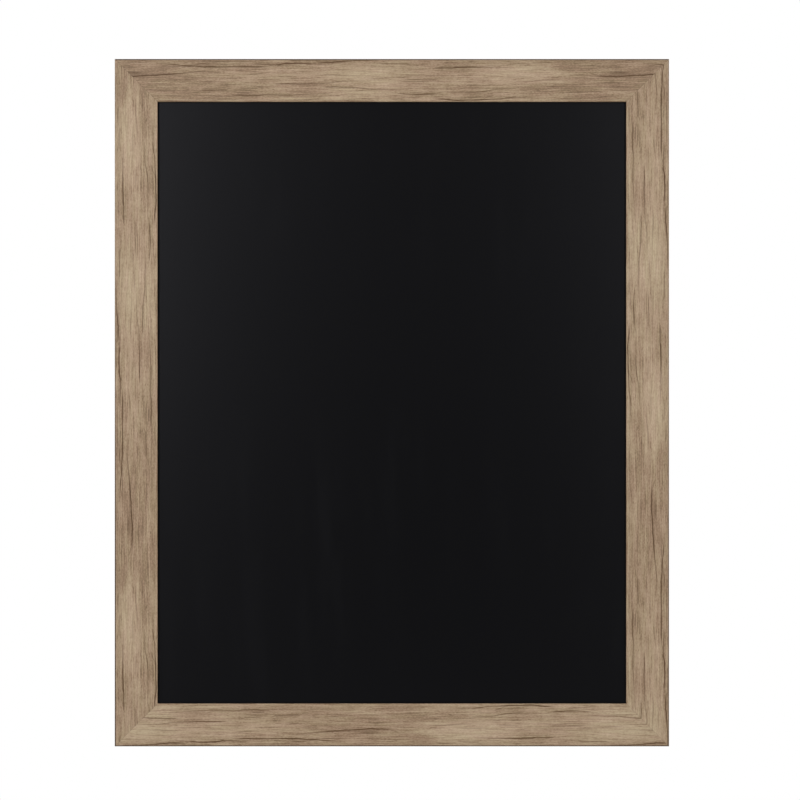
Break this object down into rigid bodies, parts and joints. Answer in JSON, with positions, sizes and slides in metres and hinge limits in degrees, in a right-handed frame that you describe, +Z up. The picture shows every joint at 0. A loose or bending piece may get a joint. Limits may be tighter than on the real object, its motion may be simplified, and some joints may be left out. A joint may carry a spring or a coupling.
{
  "type": "wall chalkboard",
  "caption": "Framed wall chalkboard: black coated steel panel in a mitred flat wood-look moulding, hung by swinging D rings upright or sideways.",
  "frame": {"origin": "on the wall plane, behind the middle of the board", "axes": "+Z up, +Y from the front towards the wall, +X to the right of someone facing the board"},
  "size_m": [0.646, 0.025, 0.801],
  "materials": {
    "foil_wrapped_moulding": "fibreboard moulding wrapped in a satin printed foil of weathered, grey-brown oak, bare fibreboard in the rebate and behind",
    "writing_surface": "near-black satin chalk paint on steel",
    "fibreboard": "bare brown fibreboard, textured back",
    "spring_steel": "bare spring steel strip",
    "point_steel": "thin bright steel",
    "plated_steel": "zinc plated steel strip",
    "plated_wire": "zinc plated steel wire",
    "screw_steel": "zinc plated steel",
    "bumper_rubber": "matt black rubber"
  },
  "bodies": {
    "board": {"top_rail": "foil_wrapped_moulding", "bottom_rail": "foil_wrapped_moulding", "left_stile": "foil_wrapped_moulding", "right_stile": "foil_wrapped_moulding", "writing_sheet": "writing_surface", "core_board": "fibreboard", "v_nails_top_left": "spring_steel", "v_nails_top_right": "spring_steel", "v_nails_bottom_left": "spring_steel", "v_nails_bottom_right": "spring_steel", "points_top": "point_steel", "points_right": "point_steel", "points_bottom": "point_steel", "points_left": "point_steel", "upright_strap_left": "plated_steel", "upright_screws_left": "screw_steel", "upright_strap_right": "plated_steel", "upright_screws_right": "screw_steel", "sideways_strap_top": "plated_steel", "sideways_screws_top": "screw_steel", "sideways_strap_bottom": "plated_steel", "sideways_screws_bottom": "screw_steel", "bumper_top_left": "bumper_rubber", "bumper_top_right": "bumper_rubber", "bumper_bottom_left": "bumper_rubber", "bumper_bottom_right": "bumper_rubber"},
    "upright_ring_left": {"upright_ring_left": "plated_wire"},
    "upright_ring_right": {"upright_ring_right": "plated_wire"},
    "sideways_ring_top": {"sideways_ring_top": "plated_wire"},
    "sideways_ring_bottom": {"sideways_ring_bottom": "plated_wire"}
  },
  "joints": [
    {"name": "upright_ring_left_swing", "type": "hinge", "parent": "board", "child": "upright_ring_left", "pos_m": [-0.3015, -0.00314, 0.2505], "axis": [1, 0, 0], "range_deg": [0, 174]},
    {"name": "upright_ring_right_swing", "type": "hinge", "parent": "board", "child": "upright_ring_right", "pos_m": [0.3015, -0.00314, 0.2505], "axis": [1, 0, 0], "range_deg": [0, 174]},
    {"name": "sideways_ring_top_swing", "type": "hinge", "parent": "board", "child": "sideways_ring_top", "pos_m": [-0.193, -0.00314, 0.379], "axis": [0, 0, 1], "range_deg": [0, 174]},
    {"name": "sideways_ring_bottom_swing", "type": "hinge", "parent": "board", "child": "sideways_ring_bottom", "pos_m": [-0.193, -0.00314, -0.379], "axis": [0, 0, 1], "range_deg": [0, 174]}
  ]
}
